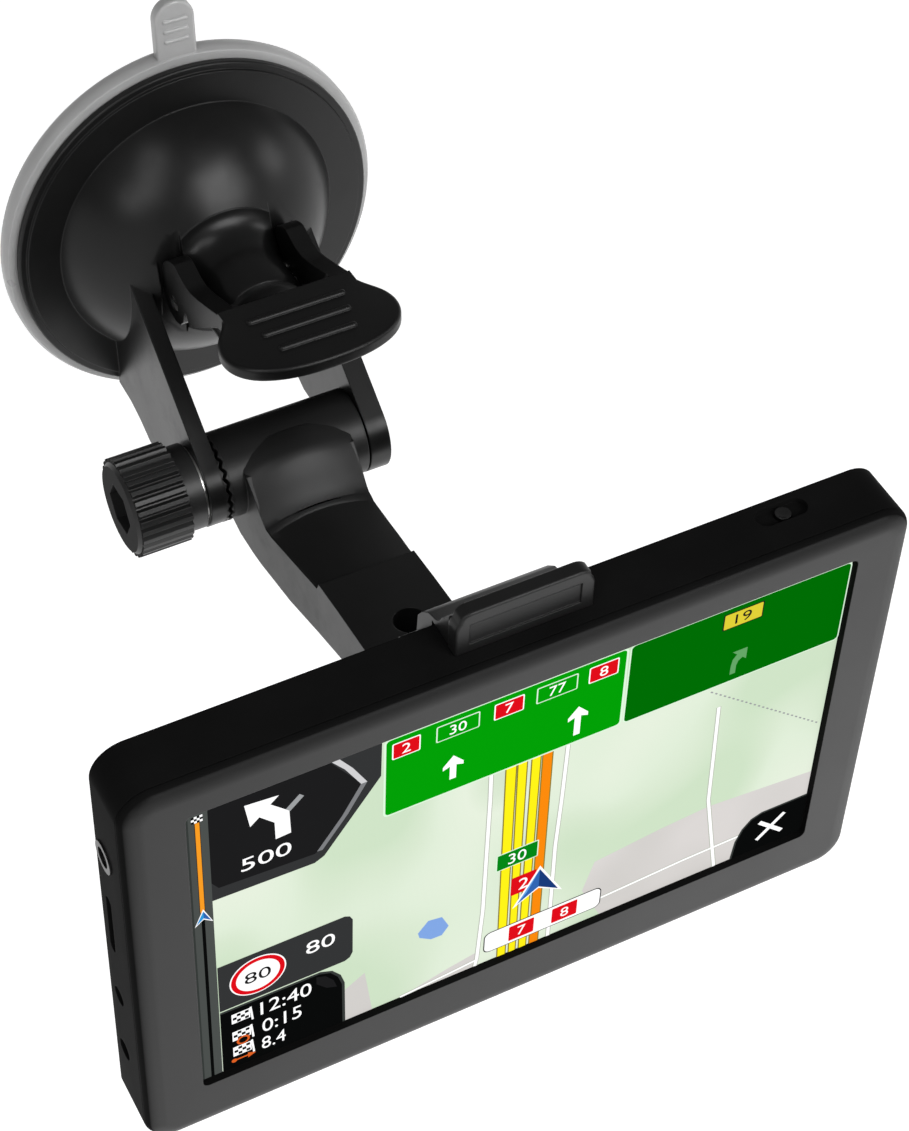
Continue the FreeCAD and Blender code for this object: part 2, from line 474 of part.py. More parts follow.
usb = usb.cut(box(USB_X - 3.4, USB_X + 3.4, 7.5, 9.4, -46, -38)).fuse(box(USB_X - 2.6, USB_X + 2.6, 8.2, 8.8, -44.0, -37.5))
usb = usb.removeSplitter()
usb = usb.common(box(0, 60, 0, 20, -44.4, -37.0))
export(dev(usb), "usb_port")
sw = box(BTN_X - 3.0, BTN_X + 3.0, 6.25, 9.9, 37.6, 40.3).fuse(cyl((BTN_X, BTN_Y, 40.2), (0, 0, 1), 0.9, 0.75)).removeSplitter()
export(dev(sw), "power_switch")
btn = cyl((BTN_X, BTN_Y, 41.6), (0, 0, 1), BTN_R, 3.0).fuse(cyl((BTN_X, BTN_Y, 41.6), (0, 0, 1), 1.7, 0.8)).removeSplitter()
btn = btn.cut(Part.makeSphere(2.2, V(BTN_X, BTN_Y, 46.5)))
export(dev(btn), "power_button")
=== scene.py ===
import bpy, bmesh, math, json, random
from mathutils import Vector, Matrix


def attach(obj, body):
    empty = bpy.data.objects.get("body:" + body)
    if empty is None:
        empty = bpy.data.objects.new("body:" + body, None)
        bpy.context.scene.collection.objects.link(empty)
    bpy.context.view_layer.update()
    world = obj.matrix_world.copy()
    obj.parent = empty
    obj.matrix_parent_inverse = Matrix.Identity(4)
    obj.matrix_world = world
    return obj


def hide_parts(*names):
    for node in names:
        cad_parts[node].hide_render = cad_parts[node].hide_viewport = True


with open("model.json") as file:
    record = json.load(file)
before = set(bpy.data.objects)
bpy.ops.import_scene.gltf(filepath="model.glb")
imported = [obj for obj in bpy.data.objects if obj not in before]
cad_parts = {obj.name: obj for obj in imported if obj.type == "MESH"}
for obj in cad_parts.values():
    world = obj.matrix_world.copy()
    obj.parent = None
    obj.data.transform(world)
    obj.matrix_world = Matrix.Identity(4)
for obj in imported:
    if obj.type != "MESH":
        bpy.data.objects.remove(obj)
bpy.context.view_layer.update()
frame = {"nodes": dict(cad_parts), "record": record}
NODES = frame["nodes"]
scene = bpy.context.scene
MM = 0.001
BODY_OF = {n: b for b, ns in frame["record"]["behaviour"]["bodies"].items() for n in ns}

# ----------------------------------------------------------------------------
# places shared with the frame
# ----------------------------------------------------------------------------
TILT = math.radians(4.0)
DEV = Matrix.Translation((0, -0.1279, -0.0375)) @ Matrix.Rotation(TILT, 4, "X")


def dev(x, y, z):
    return DEV @ Vector((x * MM, y * MM, z * MM))


def lin(r, g=None, b=None):
    """display value 0-255 to a linear colour"""
    if g is None:
        g = b = r
    out = []
    for v in (r, g, b):
        v = v / 255
        out.append(v / 12.92 if v <= 0.04045 else ((v + 0.055) / 1.055) ** 2.4)
    return tuple(out)


# ----------------------------------------------------------------------------
# camera
# ----------------------------------------------------------------------------
cam_data = bpy.data.cameras.new("camera")
cam_data.sensor_width = 36.0
cam_data.lens = 90.18
cam_data.clip_start = 0.01
cam = bpy.data.objects.new("camera", cam_data)
scene.collection.objects.link(cam)
fwd = Vector((0.32782, 0.63522, -0.69930)).normalized()
up = Vector((0.32474, 0.61934, 0.71482))
right = fwd.cross(up).normalized()
up = right.cross(fwd).normalized()
cam.matrix_world = Matrix(((right.x, up.x, -fwd.x, -0.14265),
                           (right.y, up.y, -fwd.y, -0.38055),
                           (right.z, up.z, -fwd.z, 0.30617),
                           (0, 0, 0, 1)))
scene.camera = cam
scene.view_settings.view_transform = "Standard"


# ----------------------------------------------------------------------------
# materials
# ----------------------------------------------------------------------------
class Net:
    """short hand for one node material"""

    def __init__(self, name):
        self.m = bpy.data.materials.new(name)
        self.m.use_nodes = True
        self.t = self.m.node_tree
        self.p = self.t.nodes["Principled BSDF"]
        self.co = self.n("ShaderNodeTexCoord").outputs["Object"]

    def n(self, kind, **kw):
        node = self.t.nodes.new(kind)
        for k, v in kw.items():
            setattr(node, k, v)
        return node

    def link(self, a, b):
        self.t.links.new(a, b)

    def mapped(self, scale):
        if not hasattr(scale, "__len__"):
            return self.co
        mp = self.n("ShaderNodeMapping")
        mp.inputs["Scale"].default_value = scale
        self.link(self.co, mp.inputs["Vector"])
        return mp.outputs["Vector"]

    def noise(self, scale, detail=3.0, rough=0.5, stretch=None):
        t = self.n("ShaderNodeTexNoise")
        t.inputs["Scale"].default_value = scale
        t.inputs["Detail"].default_value = detail
        t.inputs["Roughness"].default_value = rough
        self.link(self.mapped(stretch), t.inputs["Vector"])
        return t.outputs["Fac"]

    def ramp(self, fac, stops):
        r = self.n("ShaderNodeValToRGB")
        while len(r.color_ramp.elements) < len(stops):
            r.color_ramp.elements.new(0.5)
        for e, (pos, col) in zip(r.color_ramp.elements, stops):
            e.position = pos
            e.color = (*col, 1) if hasattr(col, "__len__") else (col, col, col, 1)
        self.link(fac, r.inputs["Fac"])
        return r.outputs["Color"]

    def span(self, fac, lo, hi, a=0.3, b=0.7):
        m = self.n("ShaderNodeMapRange")
        m.inputs["From Min"].default_value = a
        m.inputs["From Max"].default_value = b
        m.inputs["To Min"].default_value = lo
        m.inputs["To Max"].default_value = hi
        self.link(fac, m.inputs["Value"])
        return m.outputs["Result"]

    def bump(self, height, strength, distance, normal=None):
        b = self.n("ShaderNodeBump")
        b.inputs["Strength"].default_value = strength
        b.inputs["Distance"].default_value = distance
        self.link(height, b.inputs["Height"])
        if normal is not None:
            self.link(normal, b.inputs["Normal"])
        return b.outputs["Normal"]

    def soft_edge(self, radius):
        b = self.n("ShaderNodeBevel", samples=6)
        b.inputs["Radius"].default_value = radius
        return b.outputs["Normal"]

    def set(self, **kw):
        for k, v in kw.items():
            sock = self.p.inputs[k.replace("_", " ")]
            if isinstance(v, bpy.types.NodeSocket):
                self.link(v, sock)
            elif hasattr(v, "__len__"):
                sock.default_value = (*v, 1) if len(v) == 3 and sock.type == "RGBA" else v
            else:
                sock.default_value = v
        return self


def plastic(name, tone, rough=0.4, spread=0.06, grain=2600.0, bump=0.12, depth=0.012, edge=0.25, spec=0.5, tint=(1, 1, 1), handled=0.0):
    """moulded plastic: fine spark texture, slow gloss changes, soft corners"""
    m = Net(name)
    slow = m.noise(55.0, 4.0, 0.6)
    fine = m.noise(grain, 2.0, 0.6)
    base = lin(tone)
    base = tuple(c * t for c, t in zip(base, tint))
    col = m.ramp(slow, [(0.3, tuple(c * 0.86 for c in base)), (0.7, tuple(c * 1.16 for c in base))])
    rgh = m.span(slow, rough - spread / 2, rough + spread / 2)
    if handled:
        rub = m.noise(190.0, 5.0, 0.7)
        add = m.n("ShaderNodeMath", operation="ADD")
        m.link(rgh, add.inputs[0])
        m.link(m.span(rub, 0.0, handled, 0.5, 0.72), add.inputs[1])
        rgh = add.outputs[0]
    nrm = m.bump(fine, bump, depth * MM, m.soft_edge(edge * MM))
    m.set(Base_Color=col, Roughness=rgh, Specular_IOR_Level=spec, Normal=nrm)
    return m.m


def metal(name, col, rough=0.28, brush=(1, 1, 1), scale=900.0, edge=0.1):
    m = Net(name)
    lines = m.noise(scale, 3.0, 0.6, brush)
    slow = m.noise(120.0, 3.0)
    m.set(Base_Color=m.ramp(slow, [(0.3, tuple(c * 0.85 for c in col)), (0.7, tuple(min(1, c * 1.08) for c in col))]),
          Metallic=1.0, Roughness=m.span(lines, rough - 0.07, rough + 0.1),
          Normal=m.bump(lines, 0.12, 0.01 * MM, m.soft_edge(edge * MM)))
    return m.m


M = {}
M["housing"] = plastic("housing_black", 15, 0.31, 0.05, bump=0.06, edge=0.35, handled=0.05, spec=0.24)
M["lever"] = plastic("lever_black", 9, 0.36, 0.06, bump=0.1, edge=0.3, handled=0.06, spec=0.24)
M["nose"] = plastic("nose_black", 12, 0.34, 0.05, bump=0.08, edge=0.2, spec=0.24)
M["arm"] = plastic("arm_black", 21, 0.42, 0.06, bump=0.12, edge=0.3, handled=0.05, spec=0.33)
M["knob"] = plastic("knob_black", 20, 0.42, 0.06, bump=0.14, edge=0.15, spec=0.5)
M["cradle"] = plastic("cradle_black", 18, 0.42, 0.06, bump=0.12, edge=0.25, spec=0.25)
M["latch"] = plastic("latch_black", 20, 0.4, 0.05, bump=0.1, edge=0.3, spec=0.24)
M["bezel"] = plastic("bezel_dark_grey", 15, 0.4, 0.04, bump=0.06, edge=0.2, spec=0.25)
M["case"] = plastic("case_black", 19, 0.44, 0.05, bump=0.1, edge=0.25, spec=0.003)
M["liner"] = plastic("liner_nylon", 44, 0.5, 0.06, bump=0.1, edge=0.1)
M["ball"] = plastic("ball_acetal", 26, 0.3, 0.05, bump=0.04, edge=0.1)
M["button"] = plastic("button_gloss", 12, 0.22, 0.04, bump=0.03, edge=0.12, spec=0.5)
M["socket"] = plastic("socket_black", 14, 0.34, 0.05, bump=0.05, edge=0.1)
M["speaker"] = plastic("speaker_body", 40, 0.6, 0.1, bump=0.2, edge=0.2)


def gloss_by_facing_painted_shade(mat, axis, span, values):
    """Gloss that differs between a moulding's faces, by the way each one points: painted shade, turning the
    reflection down on faces that should read darker.
    """
    tree = mat.node_tree
    shader = next(n for n in tree.nodes if n.type == "BSDF_PRINCIPLED")
    coord = tree.nodes.new("ShaderNodeTexCoord")
    parts = tree.nodes.new("ShaderNodeSeparateXYZ")
    fade = tree.nodes.new("ShaderNodeMapRange")
    fade.inputs["From Min"].default_value, fade.inputs["From Max"].default_value = span
    fade.inputs["To Min"].default_value, fade.inputs["To Max"].default_value = values
    tree.links.new(coord.outputs["Normal"], parts.inputs[0])
    tree.links.new(parts.outputs[axis], fade.inputs["Value"])
    tree.links.new(fade.outputs["Result"], shader.inputs["Specular IOR Level"])


# painted shade: the bezel keeps its satin gloss in front but its rim is made near matte so it reads dark, and the
# knob's end is made matte to darken it
gloss_by_facing_painted_shade(M["bezel"], "Y", (-0.96, -0.74), (0.24, 0.004))
gloss_by_facing_painted_shade(M["knob"], "X", (-0.9, -0.6), (0.01, 0.5))

M["steel"] = metal("steel_plated", (0.55, 0.55, 0.54), 0.3, (1, 0.08, 1))
M["tin"] = metal("tin_plate", (0.66, 0.66, 0.64), 0.34, (0.05, 1, 1))

# soft cup rim: cloudy grey elastomer, lighter where it is thin
pad = Net("pad_tpu")
cloud = pad.noise(45.0, 4.0, 0.6)
pad.set(Base_Color=pad.ramp(cloud, [(0.3, lin(144)), (0.7, lin(158))]),
        Roughness=pad.span(cloud, 0.26, 0.36), Specular_IOR_Level=0.5,
        Subsurface_Weight=0.35, Subsurface_Radius=(1.0, 1.0, 1.0), Subsurface_Scale=0.002,
        Normal=pad.bump(pad.noise(700.0, 2.0), 0.05, 0.02 * MM, pad.soft_edge(0.3 * MM)))
M["pad"] = pad.m

board = Net("board_green")
cell = board.n("ShaderNodeTexVoronoi", feature="DISTANCE_TO_EDGE")
cell.inputs["Scale"].default_value = 420.0
board.link(board.co, cell.inputs["Vector"])
board.set(Base_Color=board.ramp(cell.outputs["Distance"], [(0.02, (0.03, 0.16, 0.05)), (0.08, (0.01, 0.07, 0.025))]),
          Roughness=board.span(board.noise(300.0), 0.3, 0.5),
          Normal=board.bump(cell.outputs["Distance"], 0.2, 0.03 * MM))
M["board"] = board.m

foil = Net("battery_foil")
crease = foil.noise(160.0, 5.0, 0.6)
foil.set(Base_Color=foil.ramp(crease, [(0.3, lin(168, 170, 174)), (0.7, lin(196, 198, 200))]), Metallic=0.7,
         Roughness=foil.span(crease, 0.28, 0.45), Normal=foil.bump(crease, 0.3, 0.1 * MM))
M["foil"] = foil.m

cer = Net("ceramic_tile")
speck = cer.noise(1500.0, 2.0)
cer.set(Base_Color=cer.ramp(speck, [(0.35, lin(206, 196, 176)), (0.65, lin(226, 218, 200))]),
        Roughness=cer.span(speck, 0.4, 0.6), Normal=cer.bump(speck, 0.1, 0.02 * MM))
M["ceramic"] = cer.m

lcd = Net("lcd_frame")
lc = lcd.noise(240.0, 3.0)
lcd.set(Base_Color=lcd.ramp(lc, [(0.3, lin(150, 152, 156)), (0.7, lin(172, 174, 178))]),
        Roughness=lcd.span(lc, 0.3, 0.45), Metallic=0.4, Normal=lcd.bump(lc, 0.08, 0.02 * MM))
M["lcd"] = lcd.m

glass = Net("panel_dark")
gn = glass.noise(90.0, 3.0)
glass.set(Base_Color=glass.ramp(gn, [(0.3, lin(16, 17, 18)), (0.7, lin(22, 23, 24))]),
          Roughness=glass.span(gn, 0.1, 0.16), Specular_IOR_Level=0.5)
M["panel"] = glass.m


def shown(name, rgb, strength=1.0, patches=None, gloss=0.22):
    """one colour of the lit display, with its fine dot rows"""
    m = Net("lit_" + name)
    rows = m.n("ShaderNodeTexWave", wave_type="BANDS", bands_direction="X")
    rows.inputs["Scale"].default_value = 1500.0
    m.link(m.co, rows.inputs["Vector"])
    c = lin(*rgb)
    if patches:
        where = m.noise(patches[0], 1.0, 0.3, (1, 1, 0.7))
        body = m.ramp(where, [(p, lin(*q)) for p, q in patches[1]])
        mix = m.n("ShaderNodeMix", data_type="RGBA", blend_type="MULTIPLY")
        mix.inputs["Factor"].default_value = 1.0
        m.link(body, mix.inputs[6])
        m.link(m.ramp(rows.outputs["Fac"], [(0.0, 0.965), (1.0, 1.0)]), mix.inputs[7])
        col = mix.outputs[2]
    else:
        col = m.ramp(rows.outputs["Fac"], [(0.0, tuple(v * 0.965 for v in c)), (1.0, c)])
    m.set(Base_Color=tuple(v * 0.1 for v in c), Emission_Color=col, Emission_Strength=strength,
          Roughness=m.span(m.noise(70.0), gloss - 0.03, gloss + 0.03), Specular_IOR_Level=0.0)
    return m.m


# ----------------------------------------------------------------------------
# CAD nodes: each gets its finish; the visible shells get a welded, smooth skin
# ----------------------------------------------------------------------------
FINISH = {
    "suction_pad": "pad", "cup_housing": "housing", "clamp_nut": "steel", "clamp_washer": "steel",
    "plunger": "nose", "lever_pin": "steel", "lever": "lever", "clamp_knob": "knob", "clamp_bolt": "steel",
    "mount_arm": "arm", "socket_liner": "liner", "ball_stud": "ball", "cradle": "cradle", "latch_pin": "steel",
    "cradle_latch": "latch", "front_bezel": "bezel", "rear_cover": "case", "case_screws": "steel",
    "touch_panel": "panel", "lcd_module": "lcd", "main_board": "board", "battery": "foil", "speaker": "speaker",
    "gps_antenna": "ceramic", "shield_can": "tin", "earphone_jack": "socket", "card_slot": "tin", "usb_port": "tin",
    "power_switch": "tin", "power_button": "button",
}
for n, o in NODES.items():
    o.data.materials.clear()
    o.data.materials.append(M[FINISH[n]])

SMOOTH = {"suction_pad": 32, "cup_housing": 32, "plunger": 32, "lever": 32, "clamp_knob": 25, "mount_arm": 32,
          "cradle": 32, "cradle_latch": 32, "front_bezel": 32, "rear_cover": 32, "ball_stud": 32, "socket_liner": 32,
          "clamp_washer": 32, "power_button": 32, "earphone_jack": 32, "touch_panel": 30}
for n, angle in SMOOTH.items():
    me = NODES[n].data.copy()
    me.name = n + "_skin"
    bm = bmesh.new()
    bm.from_mesh(me)
    bmesh.ops.remove_doubles(bm, verts=bm.verts, dist=2e-6)
    bmesh.ops.dissolve_degenerate(bm, edges=bm.edges, dist=1e-6)
    bm.normal_update()
    bm.to_mesh(me)
    bm.free()
    if "custom_normal" in me.attributes:
        me.attributes.remove(me.attributes["custom_normal"])
    me.polygons.foreach_set("use_smooth", [True] * len(me.polygons))
    me.set_sharp_from_angle(angle=math.radians(angle))
    ob = bpy.data.objects.new(n + "_skin", me)
    scene.collection.objects.link(ob)
    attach(ob, BODY_OF[n])
    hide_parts(n)

# the finger stands a little above the hook behind it
inv = DEV.inverted()
latch_skin = bpy.data.objects["cradle_latch_skin"].data
HOOK_OLD = [(7.0, 51.6), (8.0, 51.5), (9.2, 50.6), (9.9, 48.2), (11.0, 47.4), (13.4, 47.2), (15.4, 45.9), (16.6, 43.4), (17.0, 37.5)]
HOOK_NEW = [(7.0, 50.4), (8.0, 50.0), (9.2, 49.0), (9.9, 47.5), (11.0, 46.6), (13.4, 45.8), (15.4, 43.9), (16.6, 42.0), (17.0, 37.5)]


def along(profile, y):
    for (a, za), (b, zb) in zip(profile, profile[1:]):
        if a <= y <= b:
            return za + (zb - za) * (y - a) / (b - a)
    return None


for v in latch_skin.vertices:
    p = inv @ v.co
    y, z = p.y / MM, p.z / MM
    if z > 51.9 and y < 7.3:
        p.z += 0.7 * MM
        v.co = DEV @ p
    elif y > 7.15:
        top = along(HOOK_OLD, y)
        if top is not None and abs(z - top) < 0.35:
            p.z = along(HOOK_NEW, y) * MM
            v.co = DEV @ p
latch_skin.update()

# ----------------------------------------------------------------------------
# crowned top of the arm: a closed shell over the flat web, from the barrel to the head
# ----------------------------------------------------------------------------
TOP = [(-41.5, -21.2, 1.8), (-43.5, -21.5, 2.1), (-45.5, -22.2, 2.35), (-46.6, -22.7, 2.4), (-47.6, -23.6, 2.3), (-48.6, -24.6, 2.15),
       (-49.8, -26.1, 1.95), (-51.0, -27.5, 1.75), (-52.0, -28.5, 1.6), (-52.9, -29.1, 1.5), (-53.2, -29.15, 1.62), (-53.8, -29.2, 1.66),
       (-54.5, -29.4, 1.6), (-54.8, -29.55, 1.4), (-56.5, -29.4, 1.25), (-59.0, -29.1, 1.05), (-62.0, -28.75, 0.85), (-66.0, -28.2, 0.6),
       (-70.0, -27.8, 0.4), (-71.9, -27.5, 0.3)]


def half_width(y):
    pts = [(-30, 10.55), (-47, 10.2), (-53, 9.85), (-71.8, 8.9), (-100, 8.9)]
    for (a, wa), (b, wb) in zip(pts, pts[1:]):
        if b <= y <= a:
            return wa + (wb - wa) * (y - a) / (b - a)
    return 8.9


NX = 28
verts, faces = [], []
for y, z, c in TOP:
    w = half_width(y) - 0.03
    for i in range(NX + 1):
        t = -1 + 2 * i / NX
        bow = 1.0 - t * t
        yy = y + (0.9 * bow if -55 < y < -53.5 else 0.55 * bow if y < -71 else 0.0)
        verts.append((w * t * MM, yy * MM, (z + 0.04 + c * bow) * MM))
    for i in range(NX + 1):
        t = -1 + 2 * i / NX
        verts.append((w * t * MM, y * MM, (z - 0.9) * MM))
R2 = 2 * (NX + 1)
for r in range(len(TOP) - 1):
    a, b = r * R2, (r + 1) * R2
    for i in range(NX):
        faces.append((a + i, b + i, b + i + 1, a + i + 1))
        faces.append((a + NX + 1 + i, a + NX + 2 + i, b + NX + 2 + i, b + NX + 1 + i))
    faces.append((a, a + NX + 1, b + NX + 1, b))
    faces.append((a + NX, b + NX, b + R2 - 1, a + R2 - 1))
last = (len(TOP) - 1) * R2
for i in range(NX):
    faces.append((i, i + 1, NX + 2 + i, NX + 1 + i))
    faces.append((last + i, last + NX + 1 + i, last + NX + 2 + i, last + i + 1))
me = bpy.data.meshes.new("arm_crown")
me.from_pydata(verts, [], faces)
bm = bmesh.new()
bm.from_mesh(me)
bmesh.ops.recalc_face_normals(bm, faces=bm.faces)
bm.to_mesh(me)
bm.free()
me.materials.append(M["arm"])
me.polygons.foreach_set("use_smooth", [True] * len(me.polygons))
me.set_sharp_from_angle(angle=math.radians(34))
crown = bpy.data.objects.new("arm_crown", me)
scene.collection.objects.link(crown)
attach(crown, "arm")

# ----------------------------------------------------------------------------
# the lit picture behind the front glass: thin closed plates, each a layer
# ----------------------------------------------------------------------------
Y_FRONT = 1.30
STEP = 0.02
SX0, SX1, SZ0, SZ1 = -56.6, 56.7, -33.2, 37.8


class Picture:
    def __init__(self, name):
        self.name = name
        self.v, self.f, self.mi, self.mats = [], [], [], []

    def slot(self, m):
        if m not in self.mats:
            self.mats.append(m)
        return self.mats.index(m)

    def plate(self, pts, layer, m):
        area = sum(pts[i][0] * pts[(i + 1) % len(pts)][1] - pts[(i + 1) % len(pts)][0] * pts[i][1] for i in range(len(pts)))
        if area < 0:
            pts = pts[::-1]
        y0 = Y_FRONT - STEP * layer
        y1 = y0 + STEP * 0.9
        k, n, s = len(self.v), len(pts), self.slot(m)
        self.v += [tuple(dev(x, y0, z)) for x, z in pts] + [tuple(dev(x, y1, z)) for x, z in pts]
        self.f.append([k + i for i in range(n)])
        self.f.append([k + n + i for i in reversed(range(n))])
        self.mi += [s, s]
        for i in range(n):
            j = (i + 1) % n
            self.f.append([k + j, k + i, k + n + i, k + n + j])
            self.mi.append(s)

    def rect(self, x0, z0, x1, z1, layer, m, r=0.0):
        if r <= 0:
            return self.plate([(x0, z0), (x1, z0), (x1, z1), (x0, z1)], layer, m)
        pts = []
        for cx, cz, a0 in ((x1 - r, z0 + r, -90), (x1 - r, z1 - r, 0), (x0 + r, z1 - r, 90), (x0 + r, z0 + r, 180)):
            for i in range(7):
                a = math.radians(a0 + 15 * i)
                pts.append((cx + r * math.cos(a), cz + r * math.sin(a)))
        self.plate(pts, layer, m)

    def disc(self, cx, cz, r, layer, m, n=48):
        self.plate([(cx + r * math.cos(2 * math.pi * i / n), cz + r * math.sin(2 * math.pi * i / n)) for i in range(n)], layer, m)

    def line(self, pts, w, layer, m):
        """a road: one strip with mitred corners"""
        left, rgt = [], []
        for i, (x, z) in enumerate(pts):
            a = pts[max(i - 1, 0)]
            b = pts[min(i + 1, len(pts) - 1)]
            dx, dz = b[0] - a[0], b[1] - a[1]
            d = math.hypot(dx, dz)
            ww = w[i] if hasattr(w, "__len__") else w
            nx, nz = -dz / d * ww / 2, dx / d * ww / 2
            left.append((x + nx, z + nz))
            rgt.append((x - nx, z - nz))
        self.plate(left + rgt[::-1], layer, m)

    def digits(self, text, x0, z0, height, layer, m, wide=1.0, width=None, bold=0.0):
        """numerals standing on (x0, z0), height = cap height in mm"""
        cu = bpy.data.curves.new("digits", "FONT")
        cu.body = text
        cu.size = 1.0
        cu.offset = bold
        cu.resolution_u = 4
        ob = bpy.data.objects.new("digits", cu)
        scene.collection.objects.link(ob)
        dg = bpy.context.evaluated_depsgraph_get()
        me = bpy.data.meshes.new_from_object(ob.evaluated_get(dg))
        bm = bmesh.new()
        bm.from_mesh(me)
        bmesh.ops.remove_doubles(bm, verts=bm.verts, dist=1e-5)
        lo = [min(v.co[i] for v in bm.verts) for i in (0, 1)]
        hi = [max(v.co[i] for v in bm.verts) for i in (0, 1)]
        k = height / (hi[1] - lo[1])
        kx = width / (hi[0] - lo[0]) if width else k * wide
        y0 = Y_FRONT - STEP * layer
        s = self.slot(m)
        flat = list(bm.faces)
        side = [e for e in bm.edges if len(e.link_faces) == 1]
        index = {}
        for v in bm.verts:
            index[v] = len(self.v)
            x, z = x0 + (v.co.x - lo[0]) * kx, z0 + (v.co.y - lo[1]) * k
            self.v.append(tuple(dev(x, y0, z)))
            self.v.append(tuple(dev(x, y0 + STEP * 0.9, z)))
        for f in flat:
            vs = list(f.verts)
            if f.normal.z < 0:
                vs.reverse()
            self.f.append([index[v] for v in vs])
            self.f.append([index[v] + 1 for v in reversed(vs)])
            self.mi += [s, s]
        for e in side:
            a, b = e.verts
            f = e.link_faces[0]
            vs = list(f.verts)
            if f.normal.z < 0:
                vs.reverse()
            i = vs.index(a)
            if vs[(i + 1) % len(vs)] is not b:
                a, b = b, a
            self.f.append([index[b], index[a], index[a] + 1, index[b] + 1])
            self.mi.append(s)
        bm.free()
        bpy.data.objects.remove(ob)
        bpy.data.meshes.remove(me)

    def done(self):
        me = bpy.data.meshes.new(self.name)
        me.from_pydata(self.v, [], self.f)
        for m in self.mats:
            me.materials.append(m)
        me.polygons.foreach_set("material_index", self.mi)
        me.validate()
        me.update()
        ob = bpy.data.objects.new(self.name, me)
        scene.collection.objects.link(ob)
        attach(ob, "navigator")
        return ob


L = {
    "map": shown("map", (208, 222, 200), patches=(38.0, [(0.34, (196, 216, 188)), (0.44, (207, 222, 199)), (0.5, (215, 228, 208)), (0.62, (222, 231, 214)), (0.7, (204, 219, 196))])),
    "built": shown("built_area", (206, 203, 199), patches=(60.0, [(0.4, (200, 197, 194)), (0.6, (210, 206, 204))])),
    "water": shown("water", (124, 160, 219)),
    "white": shown("white", (252, 252, 252)),
    "road_edge": shown("road_edge", (176, 180, 168)),
    "olive": shown("olive", (132, 118, 40)),
    "yellow": shown("yellow", (250, 232, 22)),
    "orange": shown("orange", (240, 132, 12)),
    "amber": shown("amber", (238, 150, 34)),
    "dark": shown("dark_grey", (49, 50, 51)),
    "strip": shown("strip", (72, 76, 74)),
    "strip_lo": shown("strip_low", (52, 56, 54)),
    "ink": shown("ink", (27, 27, 28)),
    "black": shown("black", (9, 10, 10)),
    "grey": shown("grey", (150, 152, 154)),
    "silver": shown("silver", (200, 200, 202)),
    "silver_lo": shown("silver_low", (120, 121, 124)),
    "green": shown("sign_green", (2, 152, 6)),
    "green_dk": shown("sign_green_dark", (0, 103, 4)),
    "green_line": shown("sign_line", (214, 240, 214)),
    "green_faint": shown("arrow_faint", (96, 158, 98)),
    "shield_g": shown("shield_green", (4, 128, 20)),
    "red": shown("red", (214, 12, 24)),
    "yellow_sh": shown("shield_yellow", (214, 198, 52)),
    "blue": shown("blue", (46, 96, 170)),
    "blue_lt": shown("blue_light", (96, 158, 220)),
    "blue_dk": shown("blue_dark", (24, 56, 116)),
    "cyan": shown("cyan", (42, 148, 214)),
    "rust": shown("rust", (214, 92, 32)),
}

base_map = Picture("map_picture")
base_map.rect(SX0, SZ0, SX1, SZ1, 0, L["map"])
# built-up ground at the lower right and lower left
base_map.plate([(12.8, -24.2), (14.7, -17.2), (27.0, -15.5), (36.3, -14.7), (SX1, -16.7), (SX1, SZ0), (16.7, SZ0)], 1, L["built"])
base_map.plate([(-30.9, -24.3), (-27.4, -21.8), (-26.0, SZ0), (-31.6, SZ0)], 1, L["built"])
base_map.plate([(-20.9, SZ0), (-12.0, -30.6), (-6.9, -29.4), (-6.6, SZ0)], 1, L["built"])
base_map.plate([(-17.9, -16.9), (-16.1, -14.5), (-13.6, -15.0), (-12.3, -18.2), (-13.5, -20.1), (-15.5, -20.0), (-17.6, -18.3)], 1, L["water"])
# minor roads
for pts, w in (([(-6.1, 18.6), (-6.0, 11.5), (-6.1, -17.9), (-6.7, -31.0), (-7.0, SZ0)], 0.62),
               ([(-7.0, -31.6), (-12.0, -32.2), (-20.9, SZ0 + 0.1)], 0.5),
               ([(7.4, 18.6), (7.1, 3.9), (6.7, -7.9), (6.8, -22.3), (6.8, SZ0)], 0.62),
               ([(35.2, 12.0), (35.6, 0.0), (36.0, -12.8), (39.1, -32.0), (39.3, SZ0)], 0.6),
               ([(16.0, -28.5), (32.6, -27.5), (46.7, -27.2), (SX1, -26.6)], 0.5)):
    base_map.line(pts, w + 0.3, 2, L["road_edge"])
    base_map.line(pts, w, 3, L["white"])
# dotted boundary
x0, z0, x1, z1 = 33.2, 16.8, 56.4, -3.6
nd = 26
for i in range(nd):
    a, b = i / nd, (i + 0.45) / nd
    base_map.line([(x0 + (x1 - x0) * a, z0 + (z1 - z0) * a), (x0 + (x1 - x0) * b, z0 + (z1 - z0) * b)], 0.28, 2, L["grey"])
# motorway: three yellow lanes and an orange one
for a0, a1, b0, b1, key in ((-3.45, -1.8, -2.75, -1.4, "yellow"), (-1.35, 0.1, -0.6, 0.5, "yellow"),
                            (1.1, 2.5, 1.3, 2.5, "yellow"), (3.0, 4.6, 3.3, 4.8, "orange")):
    e = 0.22
    base_map.plate([(a0 - e, 18.6), (a1 + e, 18.6), (b1 + e, SZ0), (b0 - e, SZ0)], 3, L["olive"])
    base_map.plate([(a0, 18.6), (a1, 18.6), (b1, SZ0), (b0, SZ0)], 4, L[key])
base_map.done()

# plain road shields, numbers only
shields = Picture("route_shields")


def shield(x0, z0, x1, z1, key, edge, num, numkey, layer=5):
    shields.rect(x0, z0, x1, z1, layer, L[edge], 0.25)
    shields.rect(x0 + 0.22, z0 + 0.22, x1 - 0.22, z1 - 0.22, layer + 1, L[key], 0.15)
    h = (z1 - z0) * 0.6
    w = h * 0.62 * len(num)
    shields.digits(num, (x0 + x1) / 2 - w / 2, (z0 + z1) / 2 - h / 2, h, layer + 2, L[numkey], width=w if num != "1" else h * 0.3)


